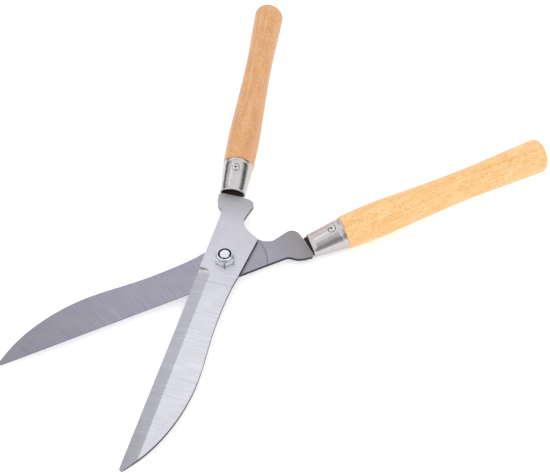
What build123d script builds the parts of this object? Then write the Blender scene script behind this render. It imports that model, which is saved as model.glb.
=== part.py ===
from build123d import *
from math import atan2, cos, radians, sin, sqrt
import os

# Hedge shears: two mirrored plate blades on one bolt, each with a tang, a ferrule and a turned handle.
# Millimetres. The origin is the centre of the bolt head's lower face. +Z runs up the pivot bolt toward
# the nut, the blades point along -Y, and the front blade is the one on the nut side.

# Stance
OPEN_ANGLE = 50.0
PLATE = 3.2
RUNNING_GAP = 0.1

# Blade outline: u runs from the pivot toward the tip, v toward the cutting edge
EDGE_V = 20.8
SHARP_TIP_U = 222.0
TIP_RADIUS = 2.2
BACK_POINTS = [(17.0, -17.2), (45.0, -13.9), (82.0, -13.2), (132.0, -15.2), (173.0, -8.0), (205.0, 7.2)]
BACK_SLOPES = ((1.0, 0.22), (1.0, 0.86))
INNER_CORNER = (-31.5, -23.3)
INNER_CORNER_RADIUS = 2.0
NECK_POINTS = [(-39.5, -10.4), (-52.0, -3.5)]
WING_CORNER = (-76.0, -9.6)
WING_TOP_V = 3.4
WING_RADIUS = 8.0
SHOULDER_U = -78.4
SHOULDER_RADIUS = 2.6
FLARE_POINTS = [(-52.5, 20.2), (-60.8, 25.0), (-78.4, 30.0)]
NECK_SLOPES = ((1.0, -0.05), (0.55, -1.0))
FLARE_SLOPES = ((-1.0, 0.0), (-1.0, 0.12))

# Ground bevel on each blade's outer face
BEVEL_WIDTH = 12.0
BEVEL_START_U = 14.5
BEVEL_CORNER = 7.0
EDGE_LAND = 0.6
CUTTER_OVERRUN = 2.0

# Tang, bent toward the nut side at the shoulder and splayed outward in the blade's plane
AXIS_V = 16.6
SPLAY = 6.0
CRANK = 10.5
TANG_WIDTH = 21.0
TANG_MID_WIDTH = 17.0
TANG_END_WIDTH = 9.0
TANG_LENGTH = 72.0

# Pivot hardware, M10
BOLT_R = 5.0
ACROSS_FLATS = 17.0
BOLT_HEAD_HEIGHT = 7.0
NUT_HEX_HEIGHT = 6.0
NUT_HEIGHT = 8.4
COLLAR_R = 7.6
LOCK_RING_R = 6.1
LOCK_RING_DEPTH = 2.4
LOCK_RING_SUNK = 0.4
BOLT_STAND_OUT = 0.3
BOLT_END_CHAMFER = 0.7
PIVOT_CLEARANCE = 0.05
HEX_TURN = -50.3
COLLAR_ROUND = 1.0
NUT_CROWN = 1.9
HEAD_CROWN = 1.0

# Ferrule: a flattened mouth opening into an almost round wood end
MOUTH_STATION = 3.0
FERRULE_LENGTH = 34.3
MOUTH_SIZE = (24.8, 18.0)
WOOD_END_SIZE = (30.8, 31.0)
FERRULE_WALL = 1.0
RIM_ROUND = 0.4
TENON_SETBACK = 8.0
WOOD_CLEARANCE = 0.08

# Ferrule screw
SCREW_SETBACK = 10.5
SCREW_HEAD_R = 3.4
SCREW_HEAD_HEIGHT = 1.7
SCREW_HEAD_ROUND = 1.28
SCREW_SHANK_R = 1.6
SCREW_LENGTH = 21.0
SCREW_SEAT_DEPTH = 0.4
RECESS_LENGTH = 4.0
RECESS_WIDTH = 0.9
RECESS_DEPTH = 0.9
SCREW_HOLE_CLEARANCE = 0.15

# Handle sections: distance from the ferrule, width across the blade's plane, height toward the nut
HANDLE_SECTIONS = [
    (0.0, 31.4, 34.6),
    (22.0, 32.2, 38.0),
    (48.0, 32.0, 37.4),
    (78.0, 30.2, 34.4),
    (105.0, 28.8, 32.7),
    (132.0, 28.2, 32.4),
    (158.0, 29.2, 33.8),
    (184.0, 31.0, 35.6),
    (208.6, 32.4, 36.8),
]
HANDLE_END_ROUND = 5.5
HANDLE_SHOULDER_ROUND = 1.2

REAR_OUTER = BOLT_HEAD_HEIGHT
REAR_INNER = REAR_OUTER + PLATE
FRONT_INNER = REAR_INNER + RUNNING_GAP
FRONT_OUTER = FRONT_INNER + PLATE
NUT_BASE = FRONT_OUTER + PIVOT_CLEARANCE
NUT_TOP = NUT_BASE + NUT_HEIGHT
FERRULE_END_STATION = MOUTH_STATION + FERRULE_LENGTH
BEVEL_RISE = (PLATE - EDGE_LAND) / BEVEL_WIDTH

# Each side: its blade's turn about +Z, its inner face and the way that face looks, its lowest face
SIDES = {
    "front": {"turn": 270.0 + OPEN_ANGLE / 2, "inner": FRONT_INNER, "facing": -1, "low": FRONT_INNER},
    "rear": {"turn": 270.0 - OPEN_ANGLE / 2, "inner": REAR_INNER, "facing": 1, "low": REAR_OUTER},
}


def blade_plane(side):
    """The blade's inner face: local x is u, local y is v, and the normal looks at the other blade."""
    turn = radians(side["turn"])
    return Plane(
        origin=(0, 0, side["inner"]),
        x_dir=(cos(turn), sin(turn), 0),
        z_dir=(0, 0, side["facing"]),
    )


def tang_plane(side):
    """The tang's lower face: local x runs along the handle, the normal is up through the tang."""
    blade = blade_plane(side)
    start = blade.from_local_coords(Vector(SHOULDER_U, AXIS_V, 0))
    outward = blade.x_dir * -cos(radians(SPLAY)) + blade.y_dir * sin(radians(SPLAY))
    along = outward * cos(radians(CRANK)) + Vector(0, 0, sin(radians(CRANK)))
    up = Vector(0, 0, cos(radians(CRANK))) - outward * sin(radians(CRANK))
    return Plane(origin=(start.X, start.Y, side["low"]), x_dir=along, z_dir=up)


def handle_plane(side, station):
    """A cross-section of the handle, square to its axis, at a distance from the tang's bend."""
    tang = tang_plane(side)
    centre = tang.origin + tang.z_dir * (PLATE / 2) + tang.x_dir * station
    return Plane(origin=centre, x_dir=tang.y_dir, z_dir=tang.x_dir)


def ferrule_size(station, inset):
    """Width and height of the ferrule's ellipse at a station, drawn in by an inset all round."""
    share = (station - MOUTH_STATION) / FERRULE_LENGTH
    width = MOUTH_SIZE[0] + (WOOD_END_SIZE[0] - MOUTH_SIZE[0]) * share
    height = MOUTH_SIZE[1] + (WOOD_END_SIZE[1] - MOUTH_SIZE[1]) * share
    return width - 2 * inset, height - 2 * inset


def screw_plane(side):
    """The flat seat of the ferrule's screw: the normal points out of the ferrule's upper side."""
    tang = tang_plane(side)
    station = FERRULE_END_STATION - SCREW_SETBACK
    half_height = ferrule_size(station, 0)[1] / 2
    taper = atan2(WOOD_END_SIZE[1] - MOUTH_SIZE[1], 2 * FERRULE_LENGTH)
    outward = tang.z_dir * cos(taper) - tang.x_dir * sin(taper)
    surface = tang.origin + tang.x_dir * station + tang.z_dir * (PLATE / 2 + half_height)
    return Plane(origin=surface - outward * SCREW_SEAT_DEPTH, x_dir=tang.y_dir, z_dir=outward)


def blade_profile(plane):
    """The blade's outline from tip to shoulder, on the given plane."""
    with BuildSketch(plane) as profile:
        with BuildLine():
            tip = (SHARP_TIP_U, EDGE_V)
            Line(tip, FLARE_POINTS[0])
            Spline(*FLARE_POINTS, tangents=FLARE_SLOPES)
            Polyline(FLARE_POINTS[-1], (SHOULDER_U, WING_TOP_V), WING_CORNER, NECK_POINTS[-1])
            Spline(NECK_POINTS[-1], NECK_POINTS[0], INNER_CORNER, tangents=NECK_SLOPES)
            Line(INNER_CORNER, BACK_POINTS[0])
            Spline(*BACK_POINTS, tip, tangents=BACK_SLOPES)
        make_face()
        rounds = [
            (tip, TIP_RADIUS),
            (FLARE_POINTS[-1], SHOULDER_RADIUS),
            (WING_CORNER, WING_RADIUS),
            (INNER_CORNER, INNER_CORNER_RADIUS),
        ]
        for point, radius in rounds:
            fillet(profile.vertices().sort_by_distance(point)[0], radius)
    return profile.sketch


def bevel_section(plane):
    """The wedge that the bevel takes off, as a triangle in v and depth at one u."""
    across = Plane(
        origin=plane.from_local_coords(Vector(BEVEL_START_U, 0, 0)),
        x_dir=plane.y_dir,
        z_dir=plane.x_dir,
    )
    inner_v = EDGE_V - BEVEL_WIDTH
    overrun_rise = CUTTER_OVERRUN * BEVEL_RISE
    with BuildSketch(across) as section:
        with BuildLine():
            Polyline(
                (inner_v - CUTTER_OVERRUN, -PLATE - overrun_rise),
                (EDGE_V + CUTTER_OVERRUN, -EDGE_LAND + overrun_rise),
                (EDGE_V + CUTTER_OVERRUN, -PLATE - overrun_rise),
                close=True,
            )
        make_face()
    return section.sketch


def bevel_cutter(plane):
    """The wedge run along the edge to past the tip, with a rounded corner where the grinding starts."""
    inner_v = EDGE_V - BEVEL_WIDTH
    length = SHARP_TIP_U - BEVEL_START_U
    with BuildPart() as cutter:
        extrude(bevel_section(plane), amount=length)
        with BuildSketch(plane) as plan:
            with Locations((BEVEL_START_U, inner_v)):
                Rectangle(length, 2 * BEVEL_WIDTH, align=(Align.MIN, Align.MIN))
            fillet(plan.vertices().sort_by_distance((BEVEL_START_U, inner_v))[0], BEVEL_CORNER)
        extrude(amount=-2 * PLATE, mode=Mode.INTERSECT)
    return cutter.part


def tang_profile(side, grow):
    """The tang's tapered outline on its lower face, grown by a clearance all round."""
    half_root = TANG_WIDTH / 2 + grow
    half_mid = TANG_MID_WIDTH / 2 + grow
    half_end = TANG_END_WIDTH / 2 + grow
    with BuildSketch(tang_plane(side)) as profile:
        with BuildLine():
            Polyline(
                (0, -half_root),
                (FERRULE_LENGTH, -half_mid),
                (TANG_LENGTH + grow, -half_end),
                (TANG_LENGTH + grow, half_end),
                (FERRULE_LENGTH, half_mid),
                (0, half_root),
                close=True,
            )
        make_face()
    return profile.sketch


def build_blade(side, pivot_hole_r):
    """One blade with its bevel, pivot hole and bent tang, in a single forged plate."""
    plane = blade_plane(side)
    with BuildPart() as blade:
        extrude(blade_profile(plane), amount=-PLATE)
        add(bevel_cutter(plane), mode=Mode.SUBTRACT)
        extrude(tang_profile(side, 0), amount=PLATE)
        with BuildSketch(plane):
            Circle(pivot_hole_r)
        extrude(amount=-PLATE, mode=Mode.SUBTRACT)
        with BuildSketch(screw_plane(side)):
            Circle(SCREW_SHANK_R + SCREW_HOLE_CLEARANCE)
        extrude(amount=-SCREW_LENGTH, mode=Mode.SUBTRACT)
    return blade.part


def ferrule_loft(side, first, last, inset):
    """A straight-sided elliptic taper between two stations of the ferrule."""
    with BuildPart() as taper:
        for station in (first, last):
            width, height = ferrule_size(station, inset)
            with BuildSketch(handle_plane(side, station)):
                Ellipse(width / 2, height / 2)
        loft(ruled=True)
    return taper.part


def build_ferrule(side):
    """A drawn metal ferrule with a rounded rim, a flat screw seat and a screw hole."""
    with BuildPart() as ferrule:
        add(ferrule_loft(side, MOUTH_STATION, FERRULE_END_STATION, 0))
        add(ferrule_loft(side, MOUTH_STATION, FERRULE_END_STATION, FERRULE_WALL), mode=Mode.SUBTRACT)
        rim = ferrule.edges().sort_by(handle_plane(side, 0).location.z_axis)[0:2]
        fillet(rim, RIM_ROUND)
        with BuildSketch(screw_plane(side)):
            Circle(SCREW_HEAD_R + SCREW_HOLE_CLEARANCE)
        extrude(amount=SCREW_HEAD_HEIGHT, mode=Mode.SUBTRACT)
        with BuildSketch(screw_plane(side)):
            Circle(SCREW_SHANK_R + SCREW_HOLE_CLEARANCE)
        extrude(amount=-2 * FERRULE_WALL, mode=Mode.SUBTRACT)
    return ferrule.part


def build_screw(side):
    """A round-head screw with a cross recess, driven through ferrule, wood and tang."""
    seat = screw_plane(side)
    with BuildPart() as screw:
        with BuildSketch(seat):
            Circle(SCREW_HEAD_R)
        extrude(amount=SCREW_HEAD_HEIGHT)
        fillet(screw.edges().sort_by(seat.location.z_axis)[-1], SCREW_HEAD_ROUND)
        with BuildSketch(seat):
            Circle(SCREW_SHANK_R)
        extrude(amount=-SCREW_LENGTH)
        with BuildSketch(seat.offset(SCREW_HEAD_HEIGHT)):
            Rectangle(RECESS_LENGTH, RECESS_WIDTH)
            Rectangle(RECESS_WIDTH, RECESS_LENGTH)
        extrude(amount=-RECESS_DEPTH, mode=Mode.SUBTRACT)
    return screw.part


def build_handle(side):
    """A turned oval handle with a tenon in the ferrule, a slot for the tang and a screw hole."""
    tenon_start = MOUTH_STATION + TENON_SETBACK
    along = handle_plane(side, 0).location.z_axis
    with BuildPart() as handle:
        for distance, width, height in HANDLE_SECTIONS:
            with BuildSketch(handle_plane(side, FERRULE_END_STATION + distance)):
                Ellipse(width / 2, height / 2)
        loft()
        fillet(handle.edges().sort_by(along)[-1], HANDLE_END_ROUND)
        fillet(handle.edges().sort_by(along)[0], HANDLE_SHOULDER_ROUND)
        add(ferrule_loft(side, tenon_start, FERRULE_END_STATION, FERRULE_WALL + WOOD_CLEARANCE))
        extrude(tang_profile(side, WOOD_CLEARANCE), amount=PLATE, mode=Mode.SUBTRACT)
        with BuildSketch(screw_plane(side)):
            Circle(SCREW_SHANK_R)
        extrude(amount=-SCREW_LENGTH, mode=Mode.SUBTRACT)
    return handle.part


def crowned_hexagon(base, height, crown, crown_end):
    """A hexagonal blank whose corners are turned down at one end: crown_end is 0 below, -1 above."""
    with BuildPart() as blank:
        with BuildSketch(Plane.XY.offset(base)):
            Circle(ACROSS_FLATS / sqrt(3))
        extrude(amount=height)
        chamfer(blank.edges().filter_by(GeomType.CIRCLE).sort_by(Axis.Z)[crown_end], crown)
        with BuildSketch(Plane.XY.offset(base)):
            RegularPolygon(ACROSS_FLATS / 2, 6, major_radius=False, rotation=HEX_TURN)
        extrude(amount=height, mode=Mode.INTERSECT)
    return blank.part


def build_bolt():
    """The hexagon-head pivot bolt, head down against the rear blade."""
    with BuildPart() as bolt:
        add(crowned_hexagon(0, BOLT_HEAD_HEIGHT, HEAD_CROWN, crown_end=0))
        with BuildSketch():
            Circle(BOLT_R)
        extrude(amount=NUT_TOP + BOLT_STAND_OUT)
        chamfer(bolt.edges().sort_by(Axis.Z)[-1], BOLT_END_CHAMFER)
    return bolt.part


def build_nut():
    """The locking nut: a hexagon with a round collar that holds the nylon ring."""
    with BuildPart() as nut:
        add(crowned_hexagon(NUT_BASE, NUT_HEX_HEIGHT, NUT_CROWN, crown_end=-1))
        with BuildSketch(Plane.XY.offset(NUT_BASE)):
            Circle(COLLAR_R)
        extrude(amount=NUT_HEIGHT)
        fillet(nut.edges().sort_by(Axis.Z)[-1], COLLAR_ROUND)
        with BuildSketch(Plane.XY.offset(NUT_BASE)):
            Circle(BOLT_R)
        extrude(amount=NUT_HEIGHT, mode=Mode.SUBTRACT)
        with BuildSketch(Plane.XY.offset(NUT_TOP - LOCK_RING_DEPTH)):
            Circle(LOCK_RING_R)
        extrude(amount=LOCK_RING_DEPTH, mode=Mode.SUBTRACT)
    return nut.part


def build_lock_ring():
    """The nylon ring that grips the bolt's thread."""
    with BuildPart() as ring:
        with BuildSketch(Plane.XY.offset(NUT_TOP - LOCK_RING_DEPTH)):
            Circle(LOCK_RING_R)
            Circle(BOLT_R, mode=Mode.SUBTRACT)
        extrude(amount=LOCK_RING_DEPTH - LOCK_RING_SUNK)
    return ring.part


def write(part, label):
    """Label a finished piece and write it to its own file."""
    part.label = label
    export_step(part, f"parts/{label}.step")


os.makedirs("parts", exist_ok=True)
write(build_blade(SIDES["front"], BOLT_R + PIVOT_CLEARANCE), "front_blade")
write(build_blade(SIDES["rear"], BOLT_R), "rear_blade")
for name, side in SIDES.items():
    write(build_ferrule(side), f"{name}_ferrule")
    write(build_screw(side), f"{name}_ferrule_screw")
    write(build_handle(side), f"{name}_handle")
write(build_bolt(), "pivot_bolt")
write(build_nut(), "pivot_nut")
write(build_lock_ring(), "nut_lock_ring")
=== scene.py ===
"""Hedge shears: the finishes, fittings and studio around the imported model.

Lengths are in metres and angles in degrees, in the model's own frame: the pivot bolt stands on the
origin and points up +Z, and the blades point along -Y.
"""

import logging
from collections.abc import Callable, Iterator, Sequence
from contextlib import contextmanager
from dataclasses import dataclass
from enum import Enum
from functools import reduce
from math import atan2, cos, radians, sin, sqrt, tan, tau

import bpy
from mathutils import Matrix, Vector


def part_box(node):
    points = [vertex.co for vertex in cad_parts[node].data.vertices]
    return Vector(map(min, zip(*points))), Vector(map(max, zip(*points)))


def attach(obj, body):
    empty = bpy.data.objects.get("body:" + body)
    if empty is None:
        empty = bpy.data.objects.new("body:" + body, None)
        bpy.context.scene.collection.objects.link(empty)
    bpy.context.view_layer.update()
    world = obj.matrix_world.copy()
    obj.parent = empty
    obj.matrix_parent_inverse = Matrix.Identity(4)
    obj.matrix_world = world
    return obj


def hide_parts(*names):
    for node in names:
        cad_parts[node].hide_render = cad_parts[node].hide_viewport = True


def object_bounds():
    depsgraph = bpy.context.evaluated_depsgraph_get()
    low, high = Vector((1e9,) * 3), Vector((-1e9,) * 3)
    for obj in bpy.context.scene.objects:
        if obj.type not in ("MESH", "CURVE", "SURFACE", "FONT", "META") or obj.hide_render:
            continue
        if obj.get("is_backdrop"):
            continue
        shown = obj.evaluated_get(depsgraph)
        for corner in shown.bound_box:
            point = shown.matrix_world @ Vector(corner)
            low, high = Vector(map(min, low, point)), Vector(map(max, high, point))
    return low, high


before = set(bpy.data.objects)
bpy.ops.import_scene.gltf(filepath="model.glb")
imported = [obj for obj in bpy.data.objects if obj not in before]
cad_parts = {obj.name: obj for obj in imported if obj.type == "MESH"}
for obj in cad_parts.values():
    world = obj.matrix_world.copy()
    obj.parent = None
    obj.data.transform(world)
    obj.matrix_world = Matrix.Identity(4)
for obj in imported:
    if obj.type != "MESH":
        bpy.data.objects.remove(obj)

log = logging.getLogger("hedge_shears")

MM = 0.001

Colour = tuple[float, float, float]
Span = tuple[float, float]
Socket = bpy.types.NodeSocket
Source = Socket | float | Colour

WHITE: Colour = (1.0, 1.0, 1.0)
BLACK: Colour = (0.0, 0.0, 0.0)
# How much of a noise's run of values a step takes in.
FULL: Span = (0.2, 0.8)
WIDE: Span = (0.25, 0.75)
SOFT: Span = (0.3, 0.7)


class Half(Enum):
    """The two halves of the shears, each with its body, and the side its blade's outer face looks to."""

    FRONT = ("front", "front_half", 1)
    REAR = ("rear", "rear_half", -1)

    def __init__(self, label: str, body: str, outer: int) -> None:
        """Name a half.

        Args:
            label: The first word of its pieces' names.
            body: The body that they ride on.
            outer: The side its blade's outer face looks to, +1 for up.
        """
        self.label = label
        self.body = body
        self.outer = outer


class Joining(Enum):
    """How a tool meets a piece."""

    ADD = "UNION"
    CUT = "DIFFERENCE"
    KEEP_SHARED = "INTERSECT"


@dataclass(frozen=True)
class Axes:
    """A piece's own frame: an origin and three directions."""

    origin: Vector
    along: Vector
    across: Vector
    up: Vector

    def at(self, along: float, across: float = 0.0, up: float = 0.0) -> Vector:
        """The point at these distances along the three directions."""
        return self.origin + self.along * along + self.across * across + self.up * up

    def matrix(self) -> Matrix:
        """The matrix for a piece modelled with its X across, its Y up and its Z along."""
        turn = Matrix((self.across, self.up, self.along)).transposed().to_4x4()
        return Matrix.Translation(self.origin) @ turn

    def shifted(self, along: float) -> "Axes":
        """The same frame, moved along its first direction."""
        return Axes(self.at(along), self.along, self.across, self.up)


@dataclass(frozen=True)
class Stance:
    """How the two halves stand at rest: the blades' opening and the bend and splay of the tangs."""

    half_opening: float = 25.0
    splay: float = 6.0
    crank: float = 10.5
    plate: float = 3.2 * MM
    shoulder_u: float = -78.4 * MM
    axis_v: float = 16.6 * MM

    def blade(self, half: Half) -> Axes:
        """The blade's frame: along toward the tip, across toward the cutting edge, up toward the nut.

        Args:
            half: The half whose blade it is.

        Returns:
            The frame, with its origin on the pivot at the blade's lower face.
        """
        turn = radians(270.0 + half.outer * self.half_opening)
        along = Vector((cos(turn), sin(turn), 0.0))
        across = Vector((sin(turn), -cos(turn), 0.0)) * half.outer
        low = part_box(f"{half.label}_blade")[0].z
        return Axes(Vector((0.0, 0.0, low)), along, across, Vector((0.0, 0.0, 1.0)))

    def handle(self, half: Half) -> Axes:
        """The handle's frame: along outward from the tang's bend, across in the blade's plane.

        Args:
            half: The half whose handle it is.

        Returns:
            The frame, with its origin on the handle's axis at the bend.
        """
        blade = self.blade(half)
        splay, crank = radians(self.splay), radians(self.crank)
        outward = blade.across * sin(splay) - blade.along * cos(splay)
        along = outward * cos(crank) + blade.up * sin(crank)
        up = blade.up * cos(crank) - outward * sin(crank)
        origin = blade.at(self.shoulder_u, self.axis_v) + up * (self.plate / 2)
        return Axes(origin, along, up.cross(along), up)


@dataclass(frozen=True)
class Grain:
    """A layer of soft noise: its lumps to the metre each way, its finer layers, and its shift from others."""

    stretch: Colour
    detail: float = 2.0
    shift: float = 0.0


class Wiring:
    """A node tree being wired up."""

    def __init__(self, tree: bpy.types.NodeTree) -> None:
        """Take up a node tree."""
        self.tree = tree

    def feed(self, socket: Socket, source: Source) -> None:
        """Link a socket to another one, or set it to a plain value.

        Args:
            socket: The socket that is fed.
            source: What feeds it.
        """
        if isinstance(source, bpy.types.NodeSocket):
            self.tree.links.new(source, socket)
        elif isinstance(source, tuple) and socket.type == "RGBA":
            socket.default_value = (*source, 1.0)
        else:
            socket.default_value = source

    def node(
        self, kind: str, inputs: dict[str | int, Source] | None = None, **settings: str
    ) -> bpy.types.Node:
        """Add a node.

        Args:
            kind: The node's type name without its ShaderNode prefix.
            inputs: What goes into its sockets, by name or place.
            settings: Its properties.

        Returns:
            The node.
        """
        made = self.tree.nodes.new("ShaderNode" + kind)
        for key, value in settings.items():
            setattr(made, key, value)
        for key, source in (inputs or {}).items():
            self.feed(made.inputs[key], source)
        return made

    def stops(self, source: Socket, colours: dict[float, Colour]) -> Socket:
        """A colour band along a source that runs from 0 to 1.

        Args:
            source: Where along the band.
            colours: The colours by place.

        Returns:
            The colour there.
        """
        band = self.node("ValToRGB", {0: source})
        elements = band.color_ramp.elements
        while len(elements) < len(colours):
            elements.new(0.5)
        for element, (place, colour) in zip(elements, sorted(colours.items())):
            element.position = place
            element.color = (*colour, 1.0)
        return band.outputs[0]


class Recipe(Wiring):
    """A material being made: short calls for the nodes that the finishes use."""

    def __init__(self, name: str) -> None:
        """Start a material with the usual shader.

        Args:
            name: The material's name.
        """
        self.material = bpy.data.materials.new(name)
        self.material.use_nodes = True
        super().__init__(self.material.node_tree)
        self.shader = next(n for n in self.tree.nodes if n.type == "BSDF_PRINCIPLED")

    def math(self, operation: str, first: Source, second: Source = 0.0, third: Source = 0.0) -> Socket:
        """One arithmetic step between up to three sources."""
        return self.node("Math", {0: first, 1: second, 2: third}, operation=operation).outputs[0]

    def times(self, *sources: Source) -> Socket:
        """The product of the sources."""
        return reduce(lambda total, source: self.math("MULTIPLY", total, source), sources)

    def plus(self, *sources: Source) -> Socket:
        """The sum of the sources."""
        return reduce(lambda total, source: self.math("ADD", total, source), sources)

    def minus(self, first: Source, second: Source) -> Socket:
        """The first source less the second."""
        return self.math("SUBTRACT", first, second)

    def without(self, source: Source) -> Socket:
        """What a source leaves of 1."""
        return self.minus(1.0, source)

    def size(self, source: Source) -> Socket:
        """A source without its sign."""
        return self.math("ABSOLUTE", source)

    def above(self, source: Source, limit: float) -> Socket:
        """1 where a source is over a limit, and 0 elsewhere."""
        return self.math("GREATER_THAN", source, limit)

    def below(self, source: Source, limit: float) -> Socket:
        """1 where a source is under a limit, and 0 elsewhere."""
        return self.math("LESS_THAN", source, limit)

    def reach(self, first: Source, second: Source) -> Socket:
        """How far out a place is, from two distances at right angles."""
        return self.math("SQRT", self.plus(self.times(first, first), self.times(second, second)))

    def split(self, vector: Socket) -> tuple[Socket, Socket, Socket]:
        """The three parts of a vector."""
        parts = self.node("SeparateXYZ", {0: vector}).outputs
        return parts[0], parts[1], parts[2]

    def join(self, x: Source, y: Source, z: Source) -> Socket:
        """A vector from three parts."""
        return self.node("CombineXYZ", {0: x, 1: y, 2: z}).outputs[0]

    def ramp(
        self, source: Socket, low: float, high: float, out_low: float = 0.0, out_high: float = 1.0
    ) -> Socket:
        """A smooth step of a source between two of its values, from one result to another."""
        settings = {0: source, 1: low, 2: high, 3: out_low, 4: out_high}
        return self.node("MapRange", settings, interpolation_type="SMOOTHSTEP").outputs[0]

    def mix(self, share: Source, first: Source, second: Source, blend: str = "MIX") -> Socket:
        """A colour between two others, or one multiplied by the other."""
        sides = {0: share, 6: first, 7: second}
        return self.node("Mix", sides, data_type="RGBA", blend_type=blend).outputs[2]

    def tint(self, colour: Source, tone: Source) -> Socket:
        """A colour multiplied by a tone or by another colour."""
        return self.mix(1.0, colour, tone, "MULTIPLY")

    def where(self) -> Socket:
        """A place in the model's own frame."""
        return self.node("TexCoord").outputs["Object"]

    def noise(self, vector: Socket, grain: Grain) -> Socket:
        """Soft noise of about 0.2 to 0.8.

        Args:
            vector: The coordinates it reads.
            grain: How it is stretched and shifted.

        Returns:
            The noise.
        """
        shift = (grain.shift, grain.shift, grain.shift)
        spread = self.node("Mapping", {"Vector": vector, "Scale": grain.stretch, "Location": shift})
        settings = {"Vector": spread.outputs[0], "Scale": 1.0, "Detail": grain.detail}
        return self.node("TexNoise", settings).outputs[0]

    def place(self, axes: Axes) -> Socket:
        """Places seen from a piece's own frame.

        Args:
            axes: The frame, whose second direction is turned round where it is left-handed.

        Returns:
            The coordinates in it.
        """
        turn = Matrix((axes.along, axes.across, axes.up))
        if turn.determinant() < 0:
            turn = Matrix((axes.along, -axes.across, axes.up))
        rotation, location = tuple(turn.to_euler()), tuple(-(turn @ axes.origin))
        moved = self.node("Mapping", {"Vector": self.where(), "Rotation": rotation, "Location": location})
        return moved.outputs[0]

    def bump(self, height: Socket, depth: float, strength: float = 1.0) -> None:
        """Raise the surface by a height of 0 to 1, times a depth in metres."""
        made = self.node("Bump", {"Height": height, "Distance": depth, "Strength": strength})
        self.feed(self.shader.inputs["Normal"], made.outputs[0])

    def set(self, **values: Source) -> None:
        """Feed the shader's sockets, named in lower case with underscores."""
        for name, value in values.items():
            self.feed(self.shader.inputs[name.replace("_", " ").title().replace("Ior", "IOR")], value)


@dataclass(frozen=True)
class Spot:
    """Where a point of a blade's steel is, and which of its faces it is on."""

    where: Socket
    along: Socket
    side: Socket
    across: Socket
    level: Socket
    is_outer: Socket
    is_blade: Socket
    is_bevel: Socket


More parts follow.
